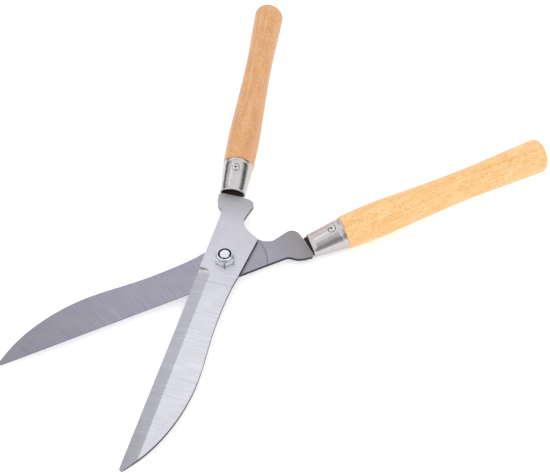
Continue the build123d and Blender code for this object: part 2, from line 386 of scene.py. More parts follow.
@dataclass(frozen=True)
class GroundSteel:
    """Plate steel ground across its faces, with its sheared edges painted near black as shade and dark
    reflection, and a tang black with scale and painted shade.

    Colours along a face are given by distance from the pivot toward the tip. They carry painted
    reflection and shade: the inner face, the bevel and the shoulder end are darker than the same steel
    elsewhere. The levels tell faces, bevels and broken edges apart by how far they look up or down.
    """

    # Painted reflection and shade: one ground steel, given a darker inner face, a darker bevel and a darker
    # shoulder end, with tones shifting along each face.
    outer_face: tuple[tuple[float, Colour], ...] = (
        (-0.074, (0.44, 0.435, 0.45)),
        (-0.045, (0.61, 0.605, 0.68)),
        (0.0, (0.65, 0.645, 0.72)),
        (0.045, (0.72, 0.72, 0.79)),
        (0.12, (0.74, 0.74, 0.81)),
        (0.21, (0.70, 0.70, 0.75)),
    )
    inner_face: tuple[tuple[float, Colour], ...] = (
        (-0.074, (0.33, 0.31, 0.32)),
        (-0.045, (0.38, 0.37, 0.43)),
        (0.02, (0.39, 0.38, 0.46)),
        (0.10, (0.37, 0.36, 0.435)),
        (0.21, (0.305, 0.295, 0.345)),
    )
    bevel: tuple[tuple[float, Colour], ...] = (
        (0.0, (0.55, 0.55, 0.62)),
        (0.12, (0.53, 0.53, 0.60)),
        (0.21, (0.44, 0.44, 0.49)),
    )
    span: Span = (-0.08, 0.225)
    # Painted shade and dark reflection: the plate's sheared edges are coloured near black.
    edge_shade: Colour = (0.05, 0.05, 0.055)
    bright_arris: Colour = (0.60, 0.60, 0.64)
    # Painted highlight: a bright line on the face along the shoulder, for the light its edge catches.
    shoulder_highlight: Colour = (0.74, 0.74, 0.74)
    # Part real, part painted: the tang is black with scale, and its black also stands in for the shade at the
    # ferrule's mouth.
    scale_and_mouth_shade: Colour = (0.045, 0.036, 0.030)
    step_wall: Colour = (0.36, 0.36, 0.38)
    # Painted highlight: the light band where the bevel's plunge runs out.
    run_out_highlight: Colour = (0.72, 0.72, 0.73)
    face_level: float = 0.95
    flat_level: float = 0.989
    outer_level: float = 0.5
    arris_level: float = 0.2
    tang_start: float = -78.5 * MM
    dull_reach: float = 18 * MM
    dull_metal: float = 0.55
    dull_roughness: float = 0.16
    shoulder_highlight_width: Span = (0.2 * MM, 0.9 * MM)
    shoulder_highlight_share: float = 0.8
    # The rub arc: its dark line is rub wear and painted shadow, and a painted highlight runs just outside it.
    rub_radius: float = 39.6 * MM
    rub_width: float = 1.4 * MM
    rub_shade: float = 0.66
    rub_highlight: float = 1.08
    rub_highlight_lag: float = 1.6
    grind_start: float = -0.03
    grind_limit: float = 29 * MM
    grind_least: float = 0.35
    limit_width: Span = (0.2 * MM, 1.3 * MM)
    limit_shade: float = 0.85
    limit_waver: float = 9 * MM
    bevel_line: float = 20.6 * MM
    bevel_root: float = 7.8 * MM
    edge_line: float = 20.3 * MM
    wall_fade: Span = (9.8 * MM, 13.8 * MM)
    run_out_end: Span = (18.6 * MM, 19.0 * MM)
    lean_reach: Span = (0.05, 0.2)
    lean: Span = (0.2, 0.5)
    fine: Grain = Grain((1050.0, 14.0, 14.0), 3.0)
    coarse: Grain = Grain((300.0, 9.0, 9.0), 1.0, 3.0)
    cloud: Grain = Grain((55.0, 70.0, 70.0), 3.0, 7.0)
    waver: Grain = Grain((40.0, 160.0, 160.0), 2.0, 5.0)
    fine_tone: Span = (-0.13, 0.12)
    coarse_tone: Span = (-0.018, 0.018)
    cloud_tone: Span = (-0.03, 0.03)
    gloss: Span = (0.32, 0.44)
    line_depth: float = 0.02 * MM
    line_strength: float = 0.6

    def along(self, recipe: Recipe, share: Socket, stops: tuple[tuple[float, Colour], ...]) -> Socket:
        """The colour of one face along the blade.

        Args:
            recipe: The material being made.
            share: Distance along the blade as a share of its whole length.
            stops: Distances from the pivot and their colours.

        Returns:
            The colour.
        """
        low, high = self.span
        return recipe.stops(share, {(place - low) / (high - low): colour for place, colour in stops})

    def spot(self, recipe: Recipe, half: Half, blade: Axes) -> Spot:
        """Find where each point is and which face it is on.

        Args:
            recipe: The material being made.
            half: The half whose blade it is.
            blade: The blade's frame.

        Returns:
            The places and faces.
        """
        where = recipe.place(blade)
        along, side, _ = recipe.split(where)
        facing = recipe.split(recipe.node("NewGeometry").outputs["True Normal"])[2]
        level = recipe.size(facing)
        is_outer = recipe.above(recipe.times(facing, float(half.outer)), self.outer_level)
        is_blade = recipe.above(along, 0.0)
        is_bevel = recipe.times(is_outer, recipe.below(level, self.flat_level), is_blade)
        across = recipe.times(side, -float(half.outer))
        return Spot(where, along, side, across, level, is_outer, is_blade, is_bevel)

    def tone(self, recipe: Recipe, spot: Spot, lines: Socket, fine: Socket) -> Socket:
        """The light and dark of the grinding, which fades near the pivot and ends in a faint line.

        Args:
            recipe: The material being made.
            spot: Where each point is.
            lines: Coordinates along the grinding.
            fine: The finest grinding lines.

        Returns:
            A tone of about 1.
        """
        fine_tone = recipe.ramp(fine, *WIDE, *self.fine_tone)
        coarse_tone = recipe.ramp(recipe.noise(lines, self.coarse), *SOFT, *self.coarse_tone)
        ground = recipe.ramp(spot.along, self.grind_start, self.grind_limit, self.grind_least, 1.0)
        streak = recipe.times(recipe.plus(fine_tone, coarse_tone), ground)
        cloud = recipe.ramp(recipe.noise(spot.where, self.cloud), *WIDE, *self.cloud_tone)
        waver = recipe.times(recipe.minus(recipe.noise(spot.where, self.waver), 0.5), self.limit_waver)
        off_limit = recipe.size(recipe.plus(recipe.minus(spot.along, self.grind_limit), waver))
        limit = recipe.ramp(off_limit, *self.limit_width, self.limit_shade, 1.0)
        on_flat = recipe.times(spot.is_outer, recipe.without(spot.is_bevel))
        tone = recipe.plus(1.0, recipe.plus(streak, cloud))
        return recipe.times(tone, recipe.mix(on_flat, WHITE, limit))

    def rubbed(self, recipe: Recipe, spot: Spot, face: Socket) -> Socket:
        """The face with the arc that the other blade rubs on it: a dark line that is rub wear and painted
        shadow, with a painted highlight just outside it.

        Args:
            recipe: The material being made.
            spot: Where each point is.
            face: The face's colour.

        Returns:
            The colour with the arc.
        """
        off_rub = recipe.minus(recipe.reach(spot.along, spot.across), self.rub_radius)
        dark = recipe.ramp(recipe.size(off_rub), 0.0, self.rub_width, self.rub_shade, 1.0)
        off_highlight = recipe.minus(off_rub, self.rub_highlight_lag * self.rub_width)
        light = recipe.ramp(recipe.size(off_highlight), 0.0, self.rub_width, self.rub_highlight, 1.0)
        on_inner = recipe.times(recipe.without(spot.is_outer), recipe.below(spot.along, 0.0))
        return recipe.mix(on_inner, face, recipe.tint(face, recipe.times(dark, light)))

    def rim(self, recipe: Recipe, spot: Spot) -> Socket:
        """The colour of the plate's edges: near black as painted shade and dark reflection, the wall where
        the bevel starts, and bright arrises.

        Args:
            recipe: The material being made.
            spot: Where each point is.

        Returns:
            The colour.
        """
        in_step = recipe.times(
            spot.is_blade,
            recipe.below(spot.across, self.edge_line),
            recipe.above(spot.across, self.bevel_root),
            recipe.below(spot.along, self.bevel_line),
        )
        # The bevel's step wall is painted dark as shade at its root and fades to its own grey.
        wall = recipe.mix(recipe.ramp(spot.across, *self.wall_fade), self.edge_shade, self.step_wall)
        rim = recipe.mix(in_step, self.edge_shade, wall)
        return recipe.mix(recipe.above(spot.level, self.arris_level), rim, self.bright_arris)

    def material(self, half: Half, blade: Axes) -> bpy.types.Material:
        """The steel for one blade.

        Args:
            half: The half whose blade it is.
            blade: The blade's frame.

        Returns:
            The material.
        """
        recipe = Recipe(f"ground_steel_{half.label}")
        spot = self.spot(recipe, half, blade)
        leaning = recipe.ramp(spot.along, *self.lean_reach, *self.lean)
        lean = recipe.times(recipe.without(spot.is_outer), leaning)
        leaned = recipe.plus(spot.along, recipe.times(spot.across, lean))
        lines = recipe.join(leaned, spot.side, 0.0)
        fine = recipe.noise(lines, self.fine)
        share = recipe.node("MapRange", {0: spot.along, 1: self.span[0], 2: self.span[1]}).outputs[0]
        # The inner face, outer face and bevel colours carry painted reflection and shade.
        inner, outer, bevel = (
            self.along(recipe, share, stops) for stops in (self.inner_face, self.outer_face, self.bevel)
        )
        # Painted highlight at the start of the bevel, where its plunge runs out.
        strip = recipe.mix(recipe.ramp(spot.along, *self.run_out_end), self.run_out_highlight, bevel)
        face = recipe.mix(spot.is_bevel, recipe.mix(spot.is_outer, inner, outer), strip)
        face = recipe.tint(face, self.tone(recipe, spot, lines, fine))
        is_face = recipe.above(spot.level, self.face_level)
        colour = recipe.mix(is_face, self.rim(recipe, spot), self.rubbed(recipe, spot, face))
        # Painted highlight along the shoulder line, where the ground face meets the tang.
        off_tang = recipe.size(recipe.minus(spot.along, self.tang_start))
        shoulder_glint = recipe.ramp(off_tang, *self.shoulder_highlight_width, self.shoulder_highlight_share, 0.0)
        colour = recipe.mix(recipe.times(shoulder_glint, is_face), colour, self.shoulder_highlight)
        # The tang is black: scale, and painted shade where it enters the ferrule.
        colour = recipe.mix(recipe.below(spot.along, self.tang_start), colour, self.scale_and_mouth_shade)
        dull = recipe.ramp(spot.along, self.tang_start, self.tang_start + self.dull_reach, 1.0, 0.0)
        gloss = recipe.ramp(fine, *FULL, *self.gloss)
        recipe.set(
            base_color=colour,
            metallic=recipe.without(recipe.times(dull, self.dull_metal)),
            roughness=recipe.math("MULTIPLY_ADD", dull, self.dull_roughness, gloss),
        )
        recipe.bump(fine, self.line_depth, self.line_strength)
        return recipe.material


@dataclass(frozen=True)
class BrightPlate:
    """Bright plating over smooth metal, with faint smears."""

    name: str
    colour: Colour
    gloss: Span = (0.12, 0.24)
    smear: Grain = Grain((260.0, 260.0, 260.0), 3.0)
    speck: Grain = Grain((1800.0, 1800.0, 1800.0), 2.0, 5.0)
    smear_tone: Span = (0.94, 1.02)
    speck_tone: Span = (0.97, 1.02)
    speck_depth: float = 0.01 * MM
    speck_strength: float = 0.4

    def start(self) -> tuple[Recipe, Socket, Socket]:
        """Start the plating.

        Returns:
            The recipe, the coordinates it reads and its colour.
        """
        recipe = Recipe(self.name)
        where = recipe.where()
        smear = recipe.noise(where, self.smear)
        speck = recipe.noise(where, self.speck)
        smeared = recipe.ramp(smear, *SOFT, *self.smear_tone)
        tone = recipe.times(smeared, recipe.ramp(speck, *SOFT, *self.speck_tone))
        recipe.set(metallic=1.0, roughness=recipe.ramp(smear, *SOFT, *self.gloss))
        recipe.bump(speck, self.speck_depth, self.speck_strength)
        return recipe, where, recipe.tint(self.colour, tone)

    def material(self) -> bpy.types.Material:
        """Make the plating.

        Returns:
            One material for every piece that has it.
        """
        recipe, _, colour = self.start()
        recipe.set(base_color=colour)
        return recipe.material


@dataclass(frozen=True)
class NutPlate(BrightPlate):
    """Bright plating on a hexagon, with painted shade in its seams and along its corners."""

    # Painted shade: a dark colour in the seams where the nut and bolt meet the blades and the collar meets
    # the hexagon, and along the hexagon's corners.
    painted_shade: Colour = (0.045, 0.05, 0.06)
    seam: float = 0.7 * MM
    seam_core: float = 0.2
    corner: Span = (9.25 * MM, 9.55 * MM)
    corner_unshaded: float = 0.35

    def seamed(self, seams: dict[float, float]) -> bpy.types.Material:
        """The plating with painted shade at some heights and on the hexagon's corners.

        Args:
            seams: How much of the plating shows in each seam, by the seam's height.

        Returns:
            The material.
        """
        recipe, where, colour = self.start()
        x, y, z = recipe.split(where)
        # Painted shade along the hexagon's corners, then in each seam.
        unshaded = recipe.ramp(recipe.reach(x, y), *self.corner, 1.0, self.corner_unshaded)
        for height, shown in seams.items():
            off = recipe.size(recipe.minus(z, height))
            unshaded = recipe.times(unshaded, recipe.ramp(off, self.seam_core * self.seam, self.seam, shown, 1.0))
        recipe.set(base_color=recipe.mix(unshaded, self.painted_shade, colour))
        return recipe.material


@dataclass(frozen=True)
class GrainedFill:
    """A plain dark stuff with a fine grain, used for painted shade in recesses and for nylon."""

    name: str
    colour: Colour
    grain: Grain
    tone: Span
    gloss: Span
    metallic: float
    specular: float
    grain_depth: float
    grain_strength: float

    def material(self) -> bpy.types.Material:
        """Make the material.

        Returns:
            The material.
        """
        recipe = Recipe(self.name)
        grain = recipe.noise(recipe.where(), self.grain)
        recipe.set(
            base_color=recipe.tint(self.colour, recipe.ramp(grain, *SOFT, *self.tone)),
            metallic=self.metallic,
            specular_ior_level=self.specular,
            roughness=recipe.ramp(grain, *SOFT, *self.gloss),
        )
        recipe.bump(grain, self.grain_depth, self.grain_strength)
        return recipe.material


@dataclass(frozen=True)
class RecessShade(GrainedFill):
    """Painted shade in a screw's recess and in the seat round its head."""

    name: str = "recess_shade"
    colour: Colour = (0.035, 0.035, 0.04)
    grain: Grain = Grain((900.0, 900.0, 900.0))
    tone: Span = (0.6, 1.6)
    gloss: Span = (0.5, 0.75)
    metallic: float = 0.4
    specular: float = 0.5
    grain_depth: float = 0.03 * MM
    grain_strength: float = 0.6


@dataclass(frozen=True)
class ShadedNylon(GrainedFill):
    """The slightly waxy nylon of the lock ring, near black: its own dark blue, deepened by painted shade in
    the gap round the bolt.
    """

    name: str = "shaded_nylon"
    # Partly painted shade: the ring's dark blue is deepened to near black for the shade in its gap.
    colour: Colour = (0.006, 0.006, 0.022)
    grain: Grain = Grain((1200.0, 1200.0, 1200.0))
    tone: Span = (0.8, 1.2)
    gloss: Span = (0.48, 0.6)
    metallic: float = 0.0
    specular: float = 0.2
    grain_depth: float = 0.02 * MM
    grain_strength: float = 0.5


@dataclass(frozen=True)
class VarnishedWood:
    """Pale close-grained wood under thin varnish, cut beside the heart so that its rings run lengthwise."""

    light: Colour
    middle: Colour
    dark: Colour
    pale_fleck: Colour
    dark_fleck: Colour
    warm: Colour
    sway: Grain
    heart: Span = (0.030, -0.045)
    ring_depth: float = 0.10
    ring: float = 4.2 * MM
    sway_depth: float = 16 * MM
    fibre: Grain = Grain((90.0, 1500.0, 1500.0), 3.0)
    streak: Grain = Grain((22.0, 260.0, 260.0), 2.0, 4.0)
    blotch: Grain = Grain((45.0, 110.0, 110.0), 2.0, 9.0)
    mottle: Grain = Grain((360.0, 760.0, 760.0), 3.0, 13.0)
    warmth: Grain = Grain((70.0, 190.0, 190.0), 2.0, 17.0)
    pores: Grain = Grain((230.0, 950.0, 950.0), 1.0, 2.0)
    rays: Grain = Grain((280.0, 900.0, 900.0), 1.0, 6.0)
    streak_share: float = 0.2
    blotch_share: float = 0.35
    ring_and_mottle_share: float = 0.45
    tone_stops: Colour = (0.34, 0.5, 0.68)
    fibre_tone: Span = (0.92, 1.07)
    warmth_edge: Span = (0.45, 0.65)
    ray_edge: Span = (0.60, 0.72)
    ray_share: float = 0.7
    pore_edge: Span = (0.59, 0.70)
    pore_share: float = 0.65
    gloss: Span = (0.42, 0.56)
    coat: float = 0.2
    coat_roughness: float = 0.28
    sheen: float = 0.22
    sheen_roughness: float = 0.35
    sheen_tint: Colour = (0.86, 0.80, 0.95)
    grain_depth: float = 0.06 * MM
    grain_strength: float = 0.6

    def rings(self, recipe: Recipe, where: Socket) -> Socket:
        """The growth rings, as circles round the tree's heart that wander along the handle.

        Args:
            recipe: The material being made.
            where: Coordinates along, across and up the handle.

        Returns:
            A value of 0 to 1.
        """
        _, across, up = recipe.split(where)
        drift = recipe.times(recipe.minus(recipe.noise(where, self.sway), 0.5), self.sway_depth)
        side = recipe.plus(recipe.minus(across, self.heart[0]), drift)
        radius = recipe.reach(side, recipe.minus(up, self.heart[1]))
        return recipe.ramp(recipe.math("SINE", recipe.times(radius, tau / self.ring)), -1.0, 1.0)

    def material(self, half: Half, handle: Axes) -> bpy.types.Material:
        """The wood for one handle.

        Args:
            half: The half whose handle it is.
            handle: The handle's frame.

        Returns:
            The material.
        """
        recipe = Recipe(f"varnished_wood_{half.label}")
        where = recipe.place(handle)
        rings = self.rings(recipe, where)
        fibre, streak, blotch, mottle, warmth, pores, rays = (
            recipe.noise(where, grain)
            for grain in (
                self.fibre, self.streak, self.blotch, self.mottle, self.warmth, self.pores, self.rays
            )
        )
        tone = recipe.plus(
            recipe.times(rings, self.ring_depth),
            recipe.times(streak, self.streak_share),
            recipe.times(blotch, self.blotch_share),
            recipe.times(mottle, self.ring_and_mottle_share - self.ring_depth),
        )
        colour = recipe.stops(tone, dict(zip(self.tone_stops, (self.light, self.middle, self.dark))))
        colour = recipe.tint(colour, recipe.ramp(fibre, *WIDE, *self.fibre_tone))
        colour = recipe.mix(recipe.ramp(warmth, *self.warmth_edge), colour, recipe.tint(colour, self.warm))
        colour = recipe.mix(recipe.ramp(rays, *self.ray_edge, 0.0, self.ray_share), colour, self.pale_fleck)
        pored = recipe.ramp(pores, *self.pore_edge, 0.0, self.pore_share)
        colour = recipe.mix(pored, colour, self.dark_fleck)
        recipe.set(
            base_color=colour,
            roughness=recipe.ramp(fibre, *FULL, *self.gloss),
            coat_weight=self.coat,
            coat_roughness=self.coat_roughness,
            sheen_weight=self.sheen,
            sheen_roughness=self.sheen_roughness,
            sheen_tint=self.sheen_tint,
        )
        recipe.bump(recipe.plus(fibre, mottle), self.grain_depth, self.grain_strength)
        return recipe.material


@dataclass(frozen=True)
class Ring:
    """One ring of a turned piece: its height on the axis and its half widths across and up."""

    height: float
    half_width: float
    half_depth: float

    @classmethod
    def round(cls, height: float, radius: float) -> "Ring":
        """A circular ring."""
        return cls(height, radius, radius)

    @classmethod
    def stack(cls, *pairs: Span) -> list["Ring"]:
        """Circular rings from their heights and radii."""
        return [cls.round(height, radius) for height, radius in pairs]

    @classmethod
    def thread(cls, foot: float, pitch: float, turns: int, profile: Sequence[Span]) -> list["Ring"]:
        """The rings of a thread.

        Args:
            foot: Where it starts.
            pitch: Its pitch.
            turns: How many turns it has.
            profile: The rings of one turn, each a share of the pitch and a radius.

        Returns:
            The rings.
        """
        return [
            cls.round(foot + turn * pitch + share * pitch, radius)
            for turn in range(turns)
            for share, radius in profile
        ]


class Bench:
    """Edit-mode work that every new piece shares."""

    weld: float = 0.001 * MM
    sliver: float = 0.004 * MM

    @staticmethod
    def clear() -> None:
        """Leave nothing selected."""
        bpy.ops.object.select_all(action="DESELECT")

    @staticmethod
    def pick(piece: bpy.types.Object) -> None:
        """Select one piece alone and make it the active one.

        Args:
            piece: The piece.
        """
        Bench.clear()
        piece.select_set(True)
        bpy.context.view_layer.objects.active = piece

    @staticmethod
    @contextmanager
    def editing(piece: bpy.types.Object) -> Iterator[None]:
        """Open a piece for editing with all of it selected, and close it afterwards.

        Args:
            piece: The piece.

        Yields:
            Nothing.
        """
        Bench.pick(piece)
        bpy.ops.object.mode_set(mode="EDIT")
        bpy.ops.mesh.select_all(action="SELECT")
        yield
        bpy.ops.object.mode_set(mode="OBJECT")

    @staticmethod
    def turn(name: str, rings: Sequence[Ring], segments: int, hollow: bool = False) -> bpy.types.Object:
        """Turn a piece about Z by drawing one ring out into the next.

        Args:
            name: The piece's name.
            rings: Its rings, in order along the surface.
            segments: How many sides each ring has.
            hollow: Leave the first and the last ring open, or merge them where they meet.

        Returns:
            The turned piece.
        """
        Bench.clear()
        bpy.ops.mesh.primitive_circle_add(vertices=segments, radius=1.0, fill_type="NOTHING")
        piece = bpy.context.object
        piece.name = name
        first = rings[0]
        with Bench.editing(piece):
            size = (first.half_width, first.half_depth, 1.0)
            bpy.ops.transform.resize(value=size, center_override=(0.0, 0.0, 0.0))
            bpy.ops.transform.translate(value=(0.0, 0.0, first.height))
            for last, ring in zip(rings, rings[1:]):
                step = (0.0, 0.0, ring.height - last.height)
                bpy.ops.mesh.extrude_region_move(TRANSFORM_OT_translate={"value": step})
                change = (ring.half_width / last.half_width, ring.half_depth / last.half_depth, 1.0)
                bpy.ops.transform.resize(value=change, center_override=(0.0, 0.0, ring.height))
            bpy.ops.mesh.select_all(action="SELECT")
            bpy.ops.mesh.remove_doubles(threshold=Bench.weld)
            if not hollow:
                bpy.ops.mesh.fill_holes(sides=0)
            bpy.ops.mesh.normals_make_consistent(inside=False)
        return piece

    @staticmethod
    def hexagon(name: str, across_flats: float, low: float, high: float, corner: float) -> bpy.types.Object:
        """A hexagonal blank standing on Z.

        Args:
            name: The blank's name.
            across_flats: Its size between opposite flats.
            low: Its lower end.
            high: Its upper end.
            corner: The bearing of one corner, in degrees from +X.

        Returns:
            The blank.
        """
        Bench.clear()
        bpy.ops.mesh.primitive_cylinder_add(
            vertices=6,
            radius=across_flats / sqrt(3.0),
            depth=high - low,
            location=(0.0, 0.0, (low + high) / 2),
            rotation=(0.0, 0.0, radians(corner - 90.0)),
        )
        bpy.ops.object.transform_apply(location=True, rotation=True, scale=True)
        piece = bpy.context.object
        piece.name = name
        return piece

    @staticmethod
    def heal(piece: bpy.types.Object) -> None:
        """Merge the slivers that cutting and bevelling leave."""
        with Bench.editing(piece):
            bpy.ops.mesh.remove_doubles(threshold=Bench.sliver)
            bpy.ops.mesh.dissolve_degenerate(threshold=Bench.sliver)

    @staticmethod
    def work(piece: bpy.types.Object, kind: str, **settings: object) -> None:
        """Give a piece a modifier and apply it at once.

        Args:
            piece: The piece.
            kind: The modifier's type.
            settings: Its properties.
        """
        step = piece.modifiers.new(kind.lower(), kind)
        for name, value in settings.items():
            setattr(step, name, value)
        Bench.pick(piece)
        bpy.ops.object.modifier_apply(modifier=step.name)

    @staticmethod
    def combine(piece: bpy.types.Object, tool: bpy.types.Object, joining: Joining) -> None:
        """Work a tool into a piece and throw the tool away.

        Args:
            piece: The piece.
            tool: The tool.
            joining: Whether the tool is added, cut out or kept where both are.
        """
        Bench.work(piece, "BOOLEAN", operation=joining.value, solver="EXACT", object=tool)
        bpy.data.objects.remove(tool)
        Bench.heal(piece)

    @staticmethod
    def soften(piece: bpy.types.Object, width: float, segments: int = 2, angle: float = 30.0) -> None:
        """Break the sharp edges of a piece.

        Args:
            piece: The piece.
            width: How far the edge is broken.
            segments: Facets across it.
            angle: The sharpest bend that is left alone, in degrees.
        """
        limits = {"limit_method": "ANGLE", "angle_limit": radians(angle), "use_clamp_overlap": True}
        Bench.work(piece, "BEVEL", width=width, segments=segments, **limits)
        Bench.heal(piece)

    @staticmethod
    def smooth(piece: bpy.types.Object, angle: float) -> None:
        """Shade a piece smooth, up to an angle between faces in degrees."""
        Bench.pick(piece)
        bpy.ops.object.shade_smooth_by_angle(angle=radians(angle))

    @staticmethod
    def mark(piece: bpy.types.Object, test: Callable[[Vector], bool]) -> None:
        """Give some faces the piece's second finish.

        Args:
            piece: The piece.
            test: Whether a face with this centre has it.
        """
        for face in piece.data.polygons:
            if test(face.center):
                face.material_index = 1

    @staticmethod
    def settle(piece: bpy.types.Object, place: Matrix) -> None:
        """Carry a piece to its place and leave its object at the origin.

        Args:
            piece: The piece.
            place: Its place.
        """
        piece.matrix_world = place
        Bench.pick(piece)
        bpy.ops.object.transform_apply(location=True, rotation=True, scale=True)


@dataclass(frozen=True)
class Fitted:
    """Where a finished piece belongs: the body it rides on, its slot, which is not used, and the node that it
    stands for.
    """

    body: str
    slot: str
    node: str

    def fit(self, piece: bpy.types.Object, *materials: bpy.types.Material) -> None:
        """Finish a piece, attach it to its body and hide the node that it stands for.

        Args:
            piece: The piece.
            materials: Its finish, and any second one for its marked faces.
        """
        for material in materials:
            piece.data.materials.append(material)
        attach(piece, self.body)
        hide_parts(self.node)
        log.info("%s: %d faces in %s", piece.name, len(piece.data.polygons), materials[0].name)


def dress(node: str, material: bpy.types.Material) -> None:
    """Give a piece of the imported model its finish, in every slot it has.

    Args:
        node: The piece's name.
        material: Its finish.
    """
    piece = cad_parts[node]
    if not piece.material_slots:
        piece.data.materials.append(material)
    for holder in piece.material_slots:
        holder.material = material
    log.info("%s is dressed in %s", node, material.name)


@dataclass
class BladePair:
    """The two ground blades, with the arris along every edge broken as a grinder leaves it."""

    stance: Stance
    steel: GroundSteel = GroundSteel()
    weld: float = 0.002 * MM
    flatness: float = 0.4
    arris: float = 0.18 * MM
    arris_angle: float = 28.0
    smooth_angle: float = 15.0

    def build(self) -> None:
        """Make and dress both blades."""
        for half in Half:
            plate = self.plate(half)
            fitted = Fitted(half.body, "blade_steel", f"{half.label}_blade")
            fitted.fit(plate, self.steel.material(half, self.stance.blade(half)))

    def plate(self, half: Half) -> bpy.types.Object:
        """One blade's plate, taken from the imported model, with its facets merged and its edges broken.

        Args:
            half: The half whose blade it is.

        Returns:
            The plate.
        """
        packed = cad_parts[f"{half.label}_blade"]
        plate = bpy.data.objects.new(f"{half.label}_blade_plate", packed.data.copy())
        bpy.context.scene.collection.objects.link(plate)
        with Bench.editing(plate):
            bpy.ops.mesh.remove_doubles(threshold=self.weld)
            bpy.ops.mesh.dissolve_limited(angle_limit=radians(self.flatness))
            bpy.ops.mesh.customdata_custom_splitnormals_clear()
        plate.data.materials.clear()
        Bench.soften(plate, self.arris, angle=self.arris_angle)
        Bench.smooth(plate, self.smooth_angle)
        return plate


@dataclass
class HandlePair:
    """The two turned handles, the front one in darker colours than the rear."""

    stance: Stance
    front_wood: VarnishedWood = VarnishedWood(
        light=(0.80, 0.45, 0.22),
        middle=(0.73, 0.38, 0.165),
        dark=(0.64, 0.32, 0.125),
        pale_fleck=(0.93, 0.60, 0.34),
        dark_fleck=(0.60, 0.27, 0.085),
        warm=(1.01, 0.96, 0.88),
        sway=Grain((9.0, 22.0, 22.0), 2.0, 11.0),
    )
    rear_wood: VarnishedWood = VarnishedWood(
        light=(0.985, 0.67, 0.335),
        middle=(0.94, 0.585, 0.25),
        dark=(0.87, 0.475, 0.165),
        pale_fleck=(1.0, 0.74, 0.44),
        dark_fleck=(0.76, 0.365, 0.11),
        warm=(1.01, 0.94, 0.82),
        sway=Grain((9.0, 22.0, 22.0), 2.0, -11.0),
        heart=(-0.012, -0.034),
        ring_depth=0.07,
    )

    def build(self) -> None:
        """Dress both handles."""
        woods = {Half.FRONT: self.front_wood, Half.REAR: self.rear_wood}
        for half, wood in woods.items():
            dress(f"{half.label}_handle", wood.material(half, self.stance.handle(half)))


